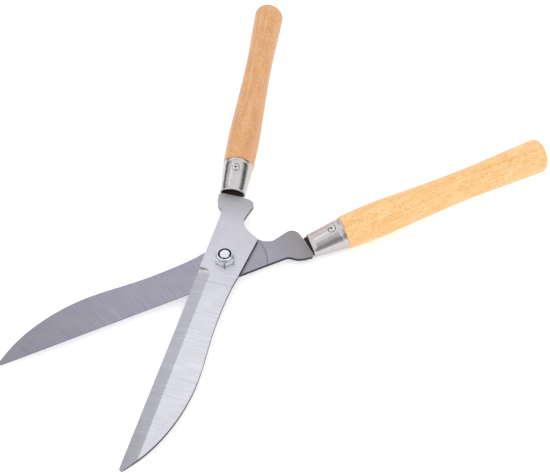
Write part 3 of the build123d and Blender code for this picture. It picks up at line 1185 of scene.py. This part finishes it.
@dataclass
class Ferrule:
    """A drawn metal ferrule: an oval mouth with a rolled lip, a taper, and a groove by the wood.

    The lip's and the groove's sections are shares of the lip's length, and of the rise or the depth.
    """

    stance: Stance
    start: float = 3.0 * MM
    length: float = 34.3 * MM
    mouth: Span = (24.8 * MM, 18.0 * MM)
    wood_end: Span = (30.8 * MM, 31.0 * MM)
    wall: float = 1.0 * MM
    lip: float = 1.9 * MM
    lip_rise: float = 0.35 * MM
    lip_section: tuple[Span, ...] = ((0.0, 0.0), (0.25, 0.75), (0.5, 1.0), (0.75, 0.75), (1.0, 0.0))
    groove: float = 3.2 * MM
    groove_depth: float = 0.30 * MM
    groove_section: tuple[Span, ...] = ((-0.5, 0.0), (-0.25, -0.7), (0.0, -1.0), (0.25, -0.7), (0.5, 0.0))
    taper_steps: int = 8
    sides: int = 128
    edge_round: float = 0.3 * MM
    edge_facets: int = 3
    edge_angle: float = 50.0
    smooth_angle: float = 35.0
    screw_setback: float = 10.5 * MM
    seat_radius: float = 3.95 * MM
    seat_depth: float = 0.45 * MM
    seat_round: float = 0.25 * MM
    seat_sides: int = 48
    hole_radius: float = 1.75 * MM
    hole_sides: int = 32
    cutter_reach: float = 3 * MM
    shade_margin: float = 0.03 * MM
    shade_reach: float = 1.5 * MM

    def ring(self, station: float, rise: float = 0.0) -> Ring:
        """The ferrule's outline at a distance from its mouth.

        Args:
            station: The distance.
            rise: How far it is raised, or sunk, all round.

        Returns:
            The outline.
        """
        share = station / self.length
        width = self.mouth[0] + (self.wood_end[0] - self.mouth[0]) * share
        depth = self.mouth[1] + (self.wood_end[1] - self.mouth[1]) * share
        return Ring(station, width / 2 + rise, depth / 2 + rise)

    def outline(self) -> list[Ring]:
        """The ferrule's outer surface from mouth to wood.

        Returns:
            The rings.
        """
        first, last = self.lip, self.length - self.groove
        step = (last - first) / self.taper_steps
        return [
            *(self.ring(self.lip * share, self.lip_rise * rise) for share, rise in self.lip_section),
            *(self.ring(first + step * count) for count in range(1, self.taper_steps)),
            *(
                self.ring(last + self.lip * share, self.groove_depth * fall)
                for share, fall in self.groove_section
            ),
            self.ring(self.length),
        ]

    def seat(self, half: Half) -> Axes:
        """The screw's frame: along out of the ferrule's upper side, from the bottom of its seat.

        Args:
            half: The half whose ferrule it is.

        Returns:
            The frame.
        """
        handle = self.stance.handle(half)
        station = self.length - self.screw_setback
        taper = atan2(self.wood_end[1] - self.mouth[1], 2 * self.length)
        outward = handle.up * cos(taper) - handle.along * sin(taper)
        surface = handle.at(self.start + station, up=self.ring(station).half_depth)
        origin = surface - outward * self.seat_depth
        return Axes(origin, outward, handle.across, handle.across.cross(outward) * -1.0)

    def make(self, half: Half) -> bpy.types.Object:
        """Turn one ferrule, give it its wall and sink its screw's seat.

        Args:
            half: The half whose ferrule it is.

        Returns:
            The ferrule.
        """
        piece = Bench.turn(f"{half.label}_ferrule_shell", self.outline(), self.sides, hollow=True)
        Bench.work(piece, "SOLIDIFY", thickness=self.wall, offset=-1.0)
        Bench.soften(piece, self.edge_round, self.edge_facets, self.edge_angle)
        Bench.settle(piece, self.stance.handle(half).shifted(self.start).matrix())
        place = self.seat(half).matrix()
        reach = self.cutter_reach
        seat_rings = Ring.stack(
            (0.0, self.seat_radius - self.seat_round),
            (self.seat_round, self.seat_radius),
            (reach, self.seat_radius),
        )
        hole_rings = Ring.stack((-reach, self.hole_radius), (reach, self.hole_radius))
        for rings, sides in ((seat_rings, self.seat_sides), (hole_rings, self.hole_sides)):
            cutter = Bench.turn("cutter", rings, sides)
            Bench.settle(cutter, place)
            Bench.combine(piece, cutter, Joining.CUT)
        Bench.smooth(piece, self.smooth_angle)
        seen = place.inverted()
        # Painted shade: the seat round the screw's head and its hole take the dark second finish.
        Bench.mark(piece, lambda centre: self.in_seat(seen @ centre))
        return piece

    def in_seat(self, place: Vector) -> bool:
        """Whether a place, seen from the seat's frame, is in the seat or down its hole."""
        return place.xy.length < self.seat_radius - self.shade_margin and abs(place.z) < self.shade_reach


@dataclass
class FerruleScrew:
    """A round-head wood screw with a cross recess."""

    head_radius: float = 3.4 * MM
    head_height: float = 1.7 * MM
    head_rim: float = 0.35 * MM
    head_undercut: float = 0.1 * MM
    dome_steps: int = 9
    dome_end: float = 88.0
    shank_radius: float = 1.25 * MM
    point_radius: float = 0.15 * MM
    point_length: float = 3 * MM
    plain_length: float = 3 * MM
    thread_rise: float = 0.35 * MM
    pitch: float = 1.4 * MM
    length: float = 21.0 * MM
    sides: int = 48
    recess_span: float = 5.2 * MM
    recess_width: float = 1.3 * MM
    recess_depth: float = 1.15 * MM
    recess_step: float = 0.05 * MM
    recess_taper: Colour = (0.78, 0.7, 1.0)
    arris: float = 0.06 * MM
    smooth_angle: float = 40.0
    shade_share: float = 0.8
    shade_floor: float = 0.2 * MM
    shade_skin: float = 0.12 * MM

    def dome(self, rise: float) -> float:
        """The head's height where its dome has risen by a share of its whole rise."""
        return self.head_rim + (self.head_height - self.head_rim) * rise

    def outline(self) -> list[Ring]:
        """The screw from its point to the crown of its head.

        Returns:
            The rings.
        """
        foot = -self.length + self.point_length
        shank = self.shank_radius
        turns = int((self.length - self.point_length - self.plain_length) / self.pitch)
        profile = ((0.5, shank), (0.75, shank + self.thread_rise), (1.0, shank))
        rises = (radians(self.dome_end) * step / (self.dome_steps - 1) for step in range(self.dome_steps))
        return [
            *Ring.stack((-self.length, self.point_radius), (foot, shank)),
            *Ring.thread(foot, self.pitch, turns, profile),
            *Ring.stack((0.0, shank), (0.0, self.head_radius - self.head_undercut)),
            *(Ring.round(self.dome(sin(rise)), self.head_radius * cos(rise)) for rise in rises),
        ]

    def make(self, half: Half, seat: Axes) -> bpy.types.Object:
        """Turn one screw and press its recess.

        Args:
            half: The half whose screw it is.
            seat: The screw's frame, from the bottom of its head.

        Returns:
            The screw.
        """
        piece = Bench.turn(f"{half.label}_ferrule_screw_cross", self.outline(), self.sides)
        Bench.combine(piece, self.wing(0.0, self.recess_depth), Joining.CUT)
        Bench.combine(piece, self.wing(90.0, self.recess_depth + self.recess_step), Joining.CUT)
        Bench.soften(piece, self.arris, angle=self.smooth_angle)
        Bench.smooth(piece, self.smooth_angle)
        # Painted shade: the recess takes the dark second finish.
        Bench.mark(piece, self.in_recess)
        Bench.settle(piece, seat.matrix())
        return piece

    def in_recess(self, place: Vector) -> bool:
        """Whether a place lies below the head's dome, inside the recess.

        Args:
            place: A place on the screw, before it is carried to its seat.

        Returns:
            Whether it does.
        """
        share = min(place.xy.length / self.head_radius, 1.0)
        top = self.dome(sqrt(1.0 - share * share)) - self.shade_skin
        return share < self.shade_share and self.shade_floor < place.z < top

    def wing(self, turn: float, depth: float) -> bpy.types.Object:
        """One slot of the recess, as a cutter that narrows downward.

        Args:
            turn: How far it is turned about the screw, in degrees.
            depth: Its depth below the crown.

        Returns:
            The cutter.
        """
        crown = (0.0, 0.0, self.head_height)
        Bench.clear()
        bpy.ops.mesh.primitive_cube_add(size=1.0, location=crown)
        cutter = bpy.context.object
        with Bench.editing(cutter):
            size = (self.recess_span, self.recess_width, 2 * depth)
            bpy.ops.transform.resize(value=size, center_override=crown)
        for vertex in cutter.data.vertices:
            vertex.select = (cutter.matrix_world @ vertex.co).z < self.head_height
        bpy.ops.object.mode_set(mode="EDIT")
        bpy.ops.mesh.select_mode(type="VERT")
        bpy.ops.transform.resize(value=self.recess_taper, center_override=crown)
        bpy.ops.object.mode_set(mode="OBJECT")
        cutter.rotation_euler = (0.0, 0.0, radians(turn))
        bpy.ops.object.transform_apply(location=True, rotation=True, scale=True)
        return cutter


@dataclass
class Pivot:
    """The pivot's hexagon bolt, its locking nut and the nylon ring that grips the thread."""

    across_flats: float = 17.0 * MM
    hex_corner: float = -50.3
    crown_skin: float = 0.05 * MM
    crown_bite: float = 0.25 * MM
    cutter_past: float = 1 * MM
    bolt_radius: float = 5.0 * MM
    head_height: float = 7.0 * MM
    head_cone: float = 1.1 * MM
    dish: tuple[Span, ...] = ((-1 * MM, 6.3 * MM), (0.35 * MM, 4.0 * MM))
    thread_pitch: float = 1.5 * MM
    thread_depth: float = 0.55 * MM
    thread_end: float = 1.2 * MM
    bolt_end: tuple[Span, ...] = (
        (0.75 * MM, 0.0),
        (0.15 * MM, 0.6 * MM),
        (0.0, 0.85 * MM),
        (0.1 * MM, 1.9 * MM),
    )
    nut_hex_height: float = 6.0 * MM
    nut_cones: Span = (1.9 * MM, 0.5 * MM)
    collar_radius: float = 7.6 * MM
    collar_foot: float = 2 * MM
    collar_shoulder: float = 1.3 * MM
    collar_fillet: float = 1.25 * MM
    fillet_steps: int = 8
    ring_radius: float = 6.45 * MM
    ring_depth: float = 2.4 * MM
    ring_sunk: float = 0.12 * MM
    ring_round: float = 0.25 * MM
    ring_chamfer: Span = (0.1 * MM, 0.05 * MM)
    arris: float = 0.15 * MM
    arris_angle: float = 35.0
    ring_smooth: float = 50.0
    sides: int = 96

    def crown(self, low: float, high: float, top: float, bottom: float) -> bpy.types.Object:
        """A turned blank with coned ends, which turns down the corners of a hexagon inside it.

        Args:
            low: The hexagon's lower end.
            high: Its upper end.
            top: How far down the upper cone reaches at the corners, or 0 for none.
            bottom: How far up the lower cone reaches there, or 0 for none.

        Returns:
            The blank, which stands past the hexagon at both ends.
        """
        corner = self.across_flats / sqrt(3.0) + self.crown_skin
        fall = corner - (self.across_flats / 2 - self.crown_bite)
        narrow = corner - 2 * fall
        foot = [(low - bottom, narrow), (low + bottom, corner)]
        head = [(high - top, corner), (high + top, narrow)]
        pairs = foot if bottom else [(low - self.cutter_past, corner)]
        pairs += head if top else [(high + self.cutter_past, corner)]
        return Bench.turn("crown_blank", Ring.stack(*pairs), self.sides)

    def finish(self, piece: bpy.types.Object) -> bpy.types.Object:
        """Break a piece's edges and smooth it.

        Args:
            piece: The piece.

        Returns:
            The piece.
        """
        Bench.soften(piece, self.arris, angle=self.arris_angle)
        Bench.smooth(piece, self.arris_angle)
        return piece

    def bolt(self) -> bpy.types.Object:
        """Make the bolt: a crowned head under a shank whose upper end is threaded and coned off.

        Returns:
            The bolt.
        """
        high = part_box("pivot_bolt")[1].z
        piece = Bench.hexagon("pivot_bolt_hexagon", self.across_flats, 0.0, self.head_height, self.hex_corner)
        Bench.combine(piece, self.crown(0.0, self.head_height, 0.0, self.head_cone), Joining.KEEP_SHARED)
        dish = Bench.turn("dish_cutter", Ring.stack(*self.dish), self.sides)
        Bench.combine(piece, dish, Joining.CUT)
        radius = self.bolt_radius
        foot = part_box("pivot_nut")[0].z
        turns = int((high - self.thread_end - foot) / self.thread_pitch)
        profile = ((0.5, radius - self.thread_depth), (1.0, radius))
        rings = [
            *Ring.stack((self.head_height - self.cutter_past, radius), (foot, radius)),
            *Ring.thread(foot, self.thread_pitch, turns, profile),
            *Ring.stack(*((high - drop, radius - inset) for drop, inset in self.bolt_end)),
        ]
        Bench.combine(piece, Bench.turn("shank", rings, self.sides), Joining.ADD)
        return self.finish(piece)

    def nut(self) -> bpy.types.Object:
        """Make the nut: a crowned hexagon under a collar that is rolled in over the ring.

        Returns:
            The nut.
        """
        low, high = (corner.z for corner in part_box("pivot_nut"))
        hex_top = low + self.nut_hex_height
        piece = Bench.hexagon("pivot_nut_hexagon", self.across_flats, low, hex_top, self.hex_corner)
        Bench.combine(piece, self.crown(low, hex_top, *self.nut_cones), Joining.KEEP_SHARED)
        collar, fillet = self.collar_radius, self.collar_fillet
        rings = Ring.stack((hex_top - self.collar_foot, collar), (high - self.collar_shoulder, collar))
        for step in range(1, self.fillet_steps + 1):
            rise = radians(90.0) * step / self.fillet_steps
            rings.append(Ring.round(high - fillet * (1 - sin(rise)), collar - fillet * (1 - cos(rise))))
        Bench.combine(piece, Bench.turn("collar", rings, self.sides), Joining.ADD)
        bore = Ring.stack(
            (low - self.cutter_past, self.bolt_radius),
            (high - self.ring_depth, self.bolt_radius),
            (high - self.ring_depth, self.ring_radius),
            (high + self.cutter_past, self.ring_radius),
        )
        Bench.combine(piece, Bench.turn("bore_cutter", bore, self.sides), Joining.CUT)
        return self.finish(piece)

    def lock_ring(self) -> bpy.types.Object:
        """Make the nylon ring, with its top rounded down to the thread.

        Returns:
            The ring.
        """
        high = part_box("pivot_nut")[1].z
        low, top = high - self.ring_depth, high - self.ring_sunk
        inner, outer = self.bolt_radius, self.ring_radius
        drop, inset = self.ring_chamfer
        rings = Ring.stack(
            (low, inner),
            (low, outer),
            (top - drop, outer),
            (top, outer - self.ring_round),
            (top, inner + self.ring_round),
            (top - drop, inner + inset),
            (top - self.ring_round, inner),
            (low, inner),
        )
        piece = Bench.turn("nut_lock_ring_nylon", rings, self.sides, hollow=True)
        Bench.smooth(piece, self.ring_smooth)
        return piece


@dataclass
class Fittings:
    """The ferrules, their screws and the pivot's bolt, nut and lock ring, with their finishes."""

    stance: Stance
    nickel: BrightPlate = BrightPlate("bright_nickel", (0.63, 0.597, 0.607), (0.16, 0.23))
    zinc: BrightPlate = BrightPlate("bright_zinc", (0.86, 0.87, 0.88), (0.10, 0.20))
    blue_zinc: NutPlate = NutPlate("blue_zinc", (0.80, 0.82, 0.93), (0.12, 0.22))
    nut_zinc: NutPlate = NutPlate("nut_zinc", (0.94, 0.955, 1.0), (0.17, 0.27), seam=0.6 * MM)
    nylon: ShadedNylon = ShadedNylon()
    painted_shade: RecessShade = RecessShade()
    bolt_seam: float = 0.3
    nut_foot_seam: float = 0.2
    nut_collar_seam: float = 0.45

    def build(self) -> None:
        """Make and dress every fitting."""
        nickel = self.nickel.material()
        zinc = self.zinc.material()
        painted_shade = self.painted_shade.material()
        ferrule = Ferrule(self.stance)
        for half in Half:
            shell = Fitted(half.body, "ferrule_metal", f"{half.label}_ferrule")
            shell.fit(ferrule.make(half), nickel, painted_shade)
            screw = Fitted(half.body, "plated_steel", f"{half.label}_ferrule_screw")
            screw.fit(FerruleScrew().make(half, ferrule.seat(half)), zinc, painted_shade)
        pivot = Pivot()
        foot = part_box("pivot_nut")[0].z
        # Painted shade where the bolt's head meets the blade, and at the nut's foot and collar.
        bolt_plate = self.blue_zinc.seamed({pivot.head_height: self.bolt_seam})
        nut_seams = {foot: self.nut_foot_seam, foot + pivot.nut_hex_height: self.nut_collar_seam}
        Fitted("rear_half", "plated_steel", "pivot_bolt").fit(pivot.bolt(), bolt_plate)
        Fitted("rear_half", "plated_steel", "pivot_nut").fit(pivot.nut(), self.nut_zinc.seamed(nut_seams))
        Fitted("rear_half", "lock_nylon", "nut_lock_ring").fit(pivot.lock_ring(), self.nylon.material())


@dataclass(frozen=True)
class Card:
    """A plain card out of shot that only the bright metal sees, to draw a band along it.

    The bearing is counted from +X toward +Y, and low and high are heights above the horizon.
    """

    name: str
    bearing: float
    low: float
    high: float
    width: float
    glow: float
    distance: float = 1.6

    def stand(self) -> None:
        """Stand the card on its bearing, facing the shears."""
        outward = Vector((cos(radians(self.bearing)), sin(radians(self.bearing)), 0.0))
        bottom, top = (self.distance * tan(radians(angle)) for angle in (self.low, self.high))
        bpy.ops.mesh.primitive_plane_add(size=1.0)
        card = bpy.context.object
        card.name = self.name
        card.scale = (self.width, top - bottom, 1.0)
        card.location = outward * self.distance + Vector((0.0, 0.0, (bottom + top) / 2))
        card.rotation_euler = outward.to_track_quat("Z", "Y").to_euler()
        recipe = Recipe(self.name)
        recipe.set(
            base_color=BLACK,
            specular_ior_level=0.0,
            emission_color=WHITE,
            emission_strength=self.glow,
        )
        card.data.materials.append(recipe.material)
        card.visible_camera = False
        card.visible_diffuse = False
        card.visible_shadow = False
        card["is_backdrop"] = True


@dataclass
class Studio:
    """A pale floor under soft light, with cards round it for the bright metal to mirror.

    The camera stands at an azimuth round the target, counted from -Y toward +X, and an elevation.
    """

    target: Vector
    azimuth: float = 39.74
    elevation: float = 51.04
    distance: float = 0.7865
    lens: float = 53.48
    sensor_width: float = 36.0
    floor_size: float = 6.0
    floor_colour: Colour = (0.93, 0.93, 0.93)
    floor_roughness: float = 0.9
    floor_glow: float = 0.2
    floor_shown: float = 0.16
    sky_glow: float = 1.0
    sky_lean: Colour = (0.0, 0.0, 1.0)
    sky_stops: tuple[Span, ...] = ((0.50, 0.85), (0.75, 0.97), (1.00, 1.0))
    softbox_place: Colour = (0.45, -0.22, 1.10)
    softbox_size: float = 0.30
    softbox_power: float = 1.2
    cards: tuple[Card, ...] = (
        Card("right_flag", bearing=57.0, low=16.0, high=40.0, width=1.3, glow=0.12),
        Card("right_fade", bearing=57.0, low=10.0, high=51.0, width=1.3, glow=0.42, distance=1.7),
        Card("left_flag", bearing=185.0, low=-1.0, high=22.0, width=1.0, glow=0.13),
        Card("left_fade", bearing=185.0, low=-1.0, high=42.0, width=1.0, glow=0.62, distance=1.7),
        Card("near_flag", bearing=-46.0, low=-1.0, high=16.0, width=1.8, glow=0.5),
        Card("near_wall", bearing=-43.0, low=16.0, high=40.0, width=1.9, glow=0.32),
        Card("near_fade", bearing=-58.0, low=36.0, high=50.0, width=1.8, glow=0.47, distance=1.7),
        Card("near_roof", bearing=-80.0, low=46.0, high=66.0, width=2.0, glow=0.64, distance=1.8),
        Card("glint", bearing=193.0, low=54.0, high=60.0, width=0.36, glow=2.2),
    )

    def build(self) -> None:
        """Set up the floor, the light and the camera."""
        self.lay_floor()
        self.light_room()
        self.hang_softbox()
        for card in self.cards:
            card.stand()
        self.stand_camera()

    def lay_floor(self) -> None:
        """Lay the floor under the lowest point of the shears."""
        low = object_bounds()[0][2]
        bpy.ops.mesh.primitive_plane_add(size=self.floor_size, location=(0.0, 0.0, low))
        floor = bpy.context.object
        floor.name = "studio_floor"
        recipe = Recipe("pale_floor")
        direct = recipe.node("LightPath").outputs["Is Camera Ray"]
        recipe.set(
            base_color=self.floor_colour,
            roughness=self.floor_roughness,
            emission_color=WHITE,
            emission_strength=recipe.math("MULTIPLY_ADD", direct, self.floor_shown, self.floor_glow),
        )
        floor.data.materials.append(recipe.material)
        floor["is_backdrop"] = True

    def light_room(self) -> None:
        """Light the whole room, a little less toward the horizon, before a plain white backdrop."""
        world = bpy.data.worlds.new("studio_room")
        bpy.context.scene.world = world
        world.use_nodes = True
        world.node_tree.nodes.clear()
        wiring = Wiring(world.node_tree)
        seen = wiring.node("TexCoord").outputs["Generated"]
        height = wiring.node("VectorMath", {0: seen, 1: self.sky_lean}, operation="DOT_PRODUCT")
        share = wiring.node("MapRange", {0: height.outputs["Value"], 1: -1.0}).outputs[0]
        band = wiring.stops(share, {place: (glow, glow, glow) for place, glow in self.sky_stops})
        room = wiring.node("Background", {"Color": band, "Strength": self.sky_glow}).outputs[0]
        backdrop = wiring.node("Background", {"Color": WHITE}).outputs[0]
        direct = wiring.node("LightPath").outputs["Is Camera Ray"]
        choice = wiring.node("MixShader", {0: direct, 1: room, 2: backdrop}).outputs[0]
        wiring.node("OutputWorld", {0: choice})

    def hang_softbox(self) -> None:
        """Hang one soft light above the shears."""
        lamp = bpy.data.lights.new("softbox", "AREA")
        lamp.energy = self.softbox_power
        lamp.size = self.softbox_size
        softbox = bpy.data.objects.new("softbox", lamp)
        bpy.context.scene.collection.objects.link(softbox)
        softbox.location = self.softbox_place
        softbox.visible_glossy = False
        softbox.rotation_euler = (Vector(softbox.location) - self.target).to_track_quat("Z", "Y").to_euler()

    def stand_camera(self) -> None:
        """Stand the camera at its place and point it at the shears."""
        azimuth, elevation = radians(self.azimuth), radians(self.elevation)
        level = cos(elevation)
        back = Vector((sin(azimuth) * level, -cos(azimuth) * level, sin(elevation)))
        view = bpy.data.cameras.new("studio_camera")
        view.lens = self.lens
        view.sensor_width = self.sensor_width
        camera = bpy.data.objects.new("studio_camera", view)
        bpy.context.scene.collection.objects.link(camera)
        camera.location = self.target + back * self.distance
        camera.rotation_euler = back.to_track_quat("Z", "Y").to_euler()
        bpy.context.scene.camera = camera
        bpy.context.scene.view_settings.view_transform = "Standard"


def main() -> None:
    """Build and dress the shears, then the studio."""
    logging.basicConfig(level=logging.INFO, format="%(name)s: %(message)s")
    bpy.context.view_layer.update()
    stance = Stance()
    BladePair(stance).build()
    HandlePair(stance).build()
    Fittings(stance).build()
    Studio(target=Vector((0.0168, 0.0529, 0.01025))).build()


if __name__ == "__main__":
    main()
